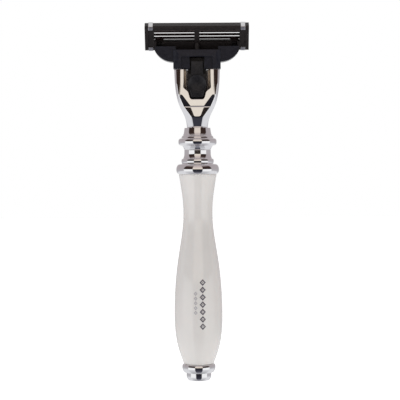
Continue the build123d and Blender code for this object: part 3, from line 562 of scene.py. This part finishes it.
pad_z, pad_r, pad_rear = 118.2 * mm, 3.7 * mm, 5.6 * mm
dish_curve = 9.0 * mm
dish = np.linspace(0, 1, 14)[::-1] * 3.15 * mm
dish_y = -pad_rear + 1.0 * mm - (dish_curve - np.sqrt(dish_curve**2 - dish**2)) - 0.05 * mm
rim_line = rounded(
    [(pad_r, -1.9 * mm), (pad_r, -pad_rear), (3.15 * mm, dish_y[0])], [0, 0.35 * mm, 0])
pad_line = np.concatenate([rim_line[:-1], np.stack([dish, dish_y], -1)[:-1], [(0.02 * mm, dish_y[-1])]])
spin = np.arange(96) * 2 * pi / 96
pad_rings = np.stack([
    pad_line[:, 0][:, None] * np.cos(spin), pad_line[:, 1][:, None] + 0 * spin,
    pad_z + pad_line[:, 0][:, None] * np.sin(spin)], -1)
plate_outline = rounded(
    np.array([(-2.6, 113.3), (2.6, 113.3), (3.7, 115.6), (3.7, 122.35), (-3.7, 122.35),
              (-3.7, 115.6)]) * mm,
    0.3 * mm, closed=True)
tail_outline = rounded(
    np.array([(-2.35, 113.0), (2.35, 113.0), (3.1, 116.6), (-3.1, 116.6)]) * mm, 0.25 * mm, closed=True)
rib_outline = rounded(
    np.array([(-1.9, 114.95), (1.9, 114.95), (1.9, 115.45), (-1.9, 115.45)]) * mm, 0.12 * mm, closed=True)
tongue_outline = rounded(
    np.array([(-2.35, 119.0), (2.35, 119.0), (2.35, 127.3), (-2.35, 127.3)]) * mm, 0.3 * mm, closed=True)
button_parts = [
    pad_rings,
    slab(plate_outline, -3.3 * mm, -1.75 * mm, 0.12 * mm),
    slab(tail_outline, -4.9 * mm, -3.2 * mm, 0.3 * mm),
    slab(rib_outline, -5.35 * mm, -4.7 * mm, 0.12 * mm),
    slab(tongue_outline, -4.1 * mm, -2.9 * mm, 0.15 * mm),
]
for side in (-1, 1):
    finger = rounded(
        np.array([(-0.45, 114.9), (0.45, 114.9), (0.45, 115.9), (-0.45, 115.9)]) * mm, 0.1 * mm,
        closed=True)
    finger[:, 0] += side * 2.5 * mm
    button_parts.append(slab(finger, -1.8 * mm, 0.45 * mm, 0.08 * mm))
button_black = surface("button_black", ((0.008, 0.008, 0.010), (0.016, 0.015, 0.018)), 0, (0.24, 0.36),
                       0.9 * mm, 0.3, fine=8, sockets={"Specular IOR Level": 0.3})
place_piece(join_rings("release_button", button_parts), button_black, "release_button", "black_moulding",
            "release_button")

# ---- Connector yoke ----
# Moulded in blue-black plastic: a socket that slides onto the handle and two wings whose curved
# rails carry the blade unit.
blue_black = surface("blue_black_moulding", ((0.006, 0.0065, 0.012), (0.011, 0.0115, 0.019)), 0,
                     (0.22, 0.34), 1.2 * mm, 0.2, fine=10, sockets={"Specular IOR Level": 0.3})
place_piece(moulded_copy("connector_yoke", "connector", 0.12 * mm), blue_black, "connector",
            "blue_black_moulding", "connector_yoke")

# ---- Blade unit frame ----
# Moulded black bar: a bay for the blades in its face, two windows in its back, curved grooves for
# the connector's rails.
place_piece(moulded_copy("cartridge_frame", "unit_frame", 0.08 * mm), black, "blade_unit", "black_moulding",
            "cartridge_frame")

# ---- Guard ----
# Soft elastomer fins moulded onto the frame in front of the first blade; they stretch the skin.
guard_y, guard_z, lean = 2.5 * mm, 131.9 * mm, radians(30)


def in_unit(rings):
    """Turns rings given as (x, w, v) into place: y = guard y + w cos - v sin and
    z = guard z + w sin + v cos, with the sine and cosine of the lean."""
    x, w, v = rings[..., 0], rings[..., 1], rings[..., 2]
    y = guard_y + w * cos(lean) - v * sin(lean)
    z = guard_z + w * sin(lean) + v * cos(lean)
    return np.stack([x, y, z], -1)


bay_half = 17.3 * mm
fin_v = np.linspace(0.4, 2.9, 121)
fin_number = np.clip(np.floor((fin_v - 0.4) / 0.5), 0, 4)
fin_height = np.minimum(0.25 + 0.16 * fin_number, 0.55) * np.sin(pi * ((fin_v - 0.4) / 0.5 % 1)) ** 0.6
fin_profile = np.concatenate([
    np.stack([3.85 + fin_height, fin_v], -1)[::-1], [(3.4, 0.4)], [(3.4, 2.9)]])[::-1] * mm
guard = closed_loft("guard_fins", in_unit(slab(fin_profile, -bay_half, bay_half, 0.02 * mm, "x")), 60)
elastomer = surface("soft_guard", ((0.022, 0.022, 0.024), (0.036, 0.035, 0.037)), 0, (0.5, 0.68), 0.8 * mm,
                    0.35, sockets={"Sheen Weight": 0.2})
place_piece(guard, elastomer, "blade_unit", "soft_guard", "guard_fins")

# ---- Lubricating strip ----
# A crowned bar of waxy polymer let into the cap behind the blades.
strip_a = np.linspace(-1, 1, 24)
strip_profile = np.concatenate([
    np.stack([4.3 + 0.25 * (1 - strip_a**2), 9.2 + 1.0 * strip_a], -1)[::-1],
    [(3.7, 8.2), (3.7, 10.2)]])[::-1]
strip_rings = in_unit(slab(strip_profile * mm, -bay_half, bay_half, 0.05 * mm, "x"))
strip = closed_loft("lubricating_strip", strip_rings)
wax = surface("waxy_strip", ((0.72, 0.75, 0.74), (0.84, 0.85, 0.83)), 0, (0.35, 0.5), 2.5 * mm, 0.3,
              stretch=(0.3, 1, 1), sockets={"Subsurface Weight": 0.2})
wax.node_tree.nodes["Principled BSDF"].inputs["Subsurface Radius"].default_value = (mm, mm, mm)
place_piece(strip, wax, "blade_unit", "strip", "lubricating_strip")

# ---- Clips ----
# Bands of rolled aluminium bent round both ends of the frame; they hold the blades in.
clip_line = [(0, 1.6), (0, 0), (4.6, 0), (4.6, 10.6), (0, 10.6), (0, 9.0), (0.3, 9.0), (0.3, 10.3),
             (4.3, 10.3), (4.3, 0.3), (0.3, 0.3), (0.3, 1.6)]
clip_soft = [0.06, 0.3, 0.3, 0.3, 0.3, 0.06, 0.06, 0.08, 0.08, 0.08, 0.08, 0.06]
clip_profile = rounded(np.array(clip_line) * mm, np.array(clip_soft) * mm, closed=True)
aluminium = surface("clip_aluminium", ((0.74, 0.74, 0.75), (0.82, 0.82, 0.83)), 1, (0.14, 0.26), 0.5 * mm,
                    0.08, stretch=(0.08, 1, 1))
for low, name in ((-19.3 * mm, "clip_left"), (17.5 * mm, "clip_right")):
    piece = closed_loft(name, in_unit(slab(clip_profile, low, low + 1.8 * mm, 0.06 * mm, "x")))
    place_piece(piece, aluminium, "blade_unit", "clip_aluminium", name)

# ---- Blades and their supports ----
# Each blade is a thin honed strip of stainless steel, laser-welded in a row of spots to a bent
# steel support whose leg stands in the frame. Each pair floats on its own.
slope = radians(22)
blade_half = 18.4 * mm


def on_slope(cutting_v, back, under):
    """Section points this far back from the cutting edge and this far under the blade's top, as (w, v)."""
    back, under = np.asarray(back, float), np.asarray(under, float)
    w = 4.2 - back * sin(slope) - under * cos(slope)
    v = cutting_v + back * cos(slope) - under * sin(slope)
    return np.stack([w, v], -1)


blade_steel = surface("blade_steel", ((0.66, 0.66, 0.67), (0.76, 0.76, 0.77)), 1, (0.16, 0.26), 0.3 * mm,
                      0.06, stretch=(0.03, 1, 1))
nodes, links = blade_steel.node_tree.nodes, blade_steel.node_tree.links
shader = nodes["Principled BSDF"]
strip_map = nodes.new("ShaderNodeUVMap")
strip_map.uv_map = "along_and_across"
split = nodes.new("ShaderNodeSeparateXYZ")
links.new(strip_map.outputs["UV"], split.inputs["Vector"])
spot_pitch, spot_back, spot_r, honed_width = 2.6, 0.85, 0.13, 0.3
along = math_node("SUBTRACT", math_node("FRACT", math_node("DIVIDE", split.outputs[0], spot_pitch)), 0.5)
along = math_node("MULTIPLY", along, spot_pitch)
across = math_node("SUBTRACT", split.outputs[1], spot_back)
squares = math_node("ADD", math_node("MULTIPLY", along, along), math_node("MULTIPLY", across, across))
reach = math_node("SQRT", squares)
spot = math_node("LESS_THAN", reach, spot_r)
honed = math_node("LESS_THAN", split.outputs[1], honed_width)
colour = shader.inputs["Base Color"].links[0].from_socket
for mask, tone in ((spot, (0.36, 0.33, 0.31, 1)), (honed, (0.90, 0.90, 0.91, 1))):
    blend = nodes.new("ShaderNodeMix")
    blend.data_type = "RGBA"
    links.new(mask.outputs[0], blend.inputs["Factor"])
    links.new(colour, blend.inputs["A"])
    blend.inputs["B"].default_value = tone
    colour = blend.outputs["Result"]
links.new(colour, shader.inputs["Base Color"])

# The supports' dark reddish tone is painted reflection and shade: it stands in for the dark inside of the
# frame's windows, not for the steel's own colour.
support_steel = surface("support_steel", ((0.13, 0.085, 0.085), (0.20, 0.13, 0.13)), 1, (0.25, 0.38),
                        0.5 * mm, 0.12, stretch=(0.06, 1, 1))
for number, name in ((1, "first_blade"), (2, "second_blade"), (3, "third_blade")):
    cutting_v = 3.5 + 1.4 * (number - 1)
    back, under = [0, 0.3, 1.25, 1.25, 0.3], [0.05, 0, 0, 0.1, 0.1]
    blade_profile = on_slope(cutting_v, back, under) * mm
    blade_rings = in_unit(slab(blade_profile, -blade_half, blade_half, 0.01 * mm, "x", 2))
    blade = closed_loft(f"blade_{number}", blade_rings, 12)
    layer = blade.data.uv_layers.new(name="along_and_across")
    corner = np.zeros(len(blade.data.loops), np.int32)
    blade.data.loops.foreach_get("vertex_index", corner)
    co = np.zeros(len(blade.data.vertices) * 3)
    blade.data.vertices.foreach_get("co", co)
    co = co.reshape(-1, 3)
    w = (co[:, 1] - guard_y) * cos(lean) + (co[:, 2] - guard_z) * sin(lean)
    v = (co[:, 2] - guard_z) * cos(lean) - (co[:, 1] - guard_y) * sin(lean)
    from_edge = (v / mm - cutting_v) * cos(slope) + (4.2 - w / mm) * sin(slope)
    layer.data.foreach_set("uv", np.stack([co[:, 0] / mm, from_edge], -1)[corner].ravel())
    place_piece(blade, blade_steel, name, "blade_steel", f"blade_{number}")
    top = on_slope(cutting_v, [0.4, 1.45], [0.1, 0.1])
    low_w, leg_v, thick = 1.5, top[1, 1], 0.28
    bend_back = (leg_v - thick - cutting_v + (0.1 + thick) * sin(slope)) / cos(slope)
    inner = on_slope(cutting_v, [bend_back, 0.4], [0.38, 0.38])
    corners = np.array([top[0], top[1], (low_w, leg_v), (low_w, leg_v - thick), inner[0], inner[1]])
    profile = rounded(corners * mm, np.array([0.04, 0.28, 0.04, 0.04, 0.06, 0.04]) * mm, closed=True)
    support_rings = in_unit(slab(profile, -blade_half, blade_half, 0.03 * mm, "x"))
    piece = closed_loft(f"blade_support_{number}", support_rings)
    place_piece(piece, support_steel, name, "support_steel", f"blade_support_{number}")

# ---- Studio ----
# A white table, a camera behind the razor a little above its middle, and large soft lamps. What
# the chrome mirrors is a room of soft boxes, dark gaps and a pale ceiling, given by direction.
floor = bpy.data.meshes.new("floor")
span = 1.5
floor.from_pydata(
    [(-span, -span, 0), (span, -span, 0), (span, span, 0), (-span, span, 0)], [], [(0, 1, 2, 3)])
table = bpy.data.objects.new("floor", floor)
bpy.context.scene.collection.objects.link(table)
paper = bpy.data.materials.new("paper")
paper.use_nodes = True
sheet = paper.node_tree.nodes["Principled BSDF"]
sheet.inputs["Base Color"].default_value = (0.9, 0.9, 0.9, 1)
sheet.inputs["Roughness"].default_value = 0.9
sheet.inputs["Emission Color"].default_value = (1, 1, 1, 1)
sheet.inputs["Emission Strength"].default_value = 0.75
floor.materials.append(paper)
table.visible_glossy = False

room = bpy.data.worlds.new("room")
bpy.context.scene.world = room
room.use_nodes = True
nodes, links = room.node_tree.nodes, room.node_tree.links
nodes.clear()
direction = nodes.new("ShaderNodeTexCoord")
parts = nodes.new("ShaderNodeSeparateXYZ")
links.new(direction.outputs["Generated"], parts.inputs["Vector"])
dy, dz = parts.outputs[1], parts.outputs[2]
flat_part = math_node("SUBTRACT", 1, math_node("MULTIPLY", dz, dz))
level = math_node("SQRT", math_node("MAXIMUM", flat_part, 0.0001))
facing = math_node("DIVIDE", math_node("MULTIPLY", dy, -1), level)
height = math_node("ADD", math_node("MULTIPLY", dz, 0.5), 0.5)


def bands(value, stops):
    """Colour bands over the sine of the elevation: each stop is (sine, red, green, blue)."""
    ramp = nodes.new("ShaderNodeValToRGB")
    links.new(value.outputs[0], ramp.inputs["Fac"])
    strip_stops = ramp.color_ramp.elements
    while len(strip_stops) < len(stops):
        strip_stops.new(0.5)
    for stop, (sine, *tint) in zip(strip_stops, stops):
        stop.position = sine / 2 + 0.5
        stop.color = (*tint, 1)
    return ramp.outputs["Color"]


def fade(low, high, first, second):
    """first where the facing value is under low, second where it is over high."""
    step = nodes.new("ShaderNodeMapRange")
    step.interpolation_type = "SMOOTHSTEP"
    step.inputs["From Min"].default_value = low
    step.inputs["From Max"].default_value = high
    links.new(facing.outputs[0], step.inputs["Value"])
    blend = nodes.new("ShaderNodeMix")
    blend.data_type = "RGBA"
    links.new(step.outputs["Result"], blend.inputs["Factor"])
    links.new(first, blend.inputs["A"])
    links.new(second, blend.inputs["B"])
    return blend.outputs["Result"]


middle = bands(height, [
    (-1.0, 0.30, 0.30, 0.34), (-0.62, 0.05, 0.05, 0.065), (-0.12, 0.022, 0.022, 0.03),
    (-0.03, 0.014, 0.012, 0.013), (0.07, 0.025, 0.017, 0.015), (0.085, 0.90, 0.82, 0.71),
    (0.45, 0.72, 0.62, 0.56), (0.86, 0.52, 0.45, 0.44),
    (0.95, 0.45, 0.40, 0.40)])
sides = bands(height, [
    (-1.0, 0.40, 0.40, 0.42), (-0.50, 0.70, 0.70, 0.72), (-0.36, 0.78, 0.78, 0.80), (-0.32, 1.0, 1.0, 1.0),
    (0.07, 1.0, 1.0, 1.0), (0.085, 0.03, 0.018, 0.014), (0.60, 0.05, 0.03, 0.026),
    (0.85, 0.42, 0.37, 0.37)])
behind = bands(height, [
    (-1.0, 0.40, 0.40, 0.42), (-0.78, 0.78, 0.78, 0.80), (-0.30, 0.78, 0.78, 0.80),
    (-0.15, 0.48, 0.47, 0.49),
    (0.1, 0.46, 0.42, 0.43), (0.8, 0.44, 0.39, 0.40),
    (0.95, 0.45, 0.40, 0.40)])
wall = bands(height, [(-1.0, 0.6, 0.6, 0.6), (0.0, 0.9, 0.9, 0.9), (1.0, 0.7, 0.7, 0.7)])
mirrored = fade(-0.985, -0.94, wall, fade(0.10, 0.24, behind, fade(0.875, 0.905, sides, middle)))
rays = nodes.new("ShaderNodeLightPath")
soft = bands(height, [(-1.0, 0.38, 0.37, 0.38), (0.0, 0.43, 0.42, 0.42), (1.0, 0.50, 0.48, 0.48)])
shiny = nodes.new("ShaderNodeMix")
shiny.data_type = "RGBA"
links.new(rays.outputs["Is Glossy Ray"], shiny.inputs["Factor"])
links.new(soft, shiny.inputs["A"])
links.new(mirrored, shiny.inputs["B"])
seen = nodes.new("ShaderNodeMix")
seen.data_type = "RGBA"
links.new(rays.outputs["Is Camera Ray"], seen.inputs["Factor"])
links.new(shiny.outputs["Result"], seen.inputs["A"])
seen.inputs["B"].default_value = (1, 1, 1, 1)
backdrop = nodes.new("ShaderNodeBackground")
links.new(seen.outputs["Result"], backdrop.inputs["Color"])
out = nodes.new("ShaderNodeOutputWorld")
links.new(backdrop.outputs["Background"], out.inputs["Surface"])


def lamp(name, place, aim, size, power, tint):
    """A large square lamp that points at the aim; the room above already holds its mirror image."""
    light = bpy.data.lights.new(name, "AREA")
    light.size, light.energy, light.color = size, power, tint
    holder = bpy.data.objects.new(name, light)
    bpy.context.scene.collection.objects.link(holder)
    holder.location = place
    toward = Vector(aim) - Vector(place)
    holder.rotation_euler = toward.to_track_quat("-Z", "Y").to_euler()
    holder.visible_glossy = False
    return holder


lamp("key", (-0.75, -0.55, 0.25), (0, 0, 0.07), 0.6, 1.3, (0.95, 0.97, 1.0))
lamp("fill", (0.75, -0.6, 0.3), (0, 0, 0.07), 0.6, 0.8, (1.0, 0.95, 0.88))

lens = bpy.data.cameras.new("camera")
lens.lens, lens.sensor_width, lens.clip_start = 121.5, 36, 0.01
eye = bpy.data.objects.new("camera", lens)
bpy.context.scene.collection.objects.link(eye)
eye.location = (0.96 * mm, -540 * mm, 88 * mm)
eye.rotation_euler = (radians(90 - 1.68), radians(0.36), 0)
bpy.context.scene.camera = eye
bpy.context.scene.view_settings.view_transform = "Standard"
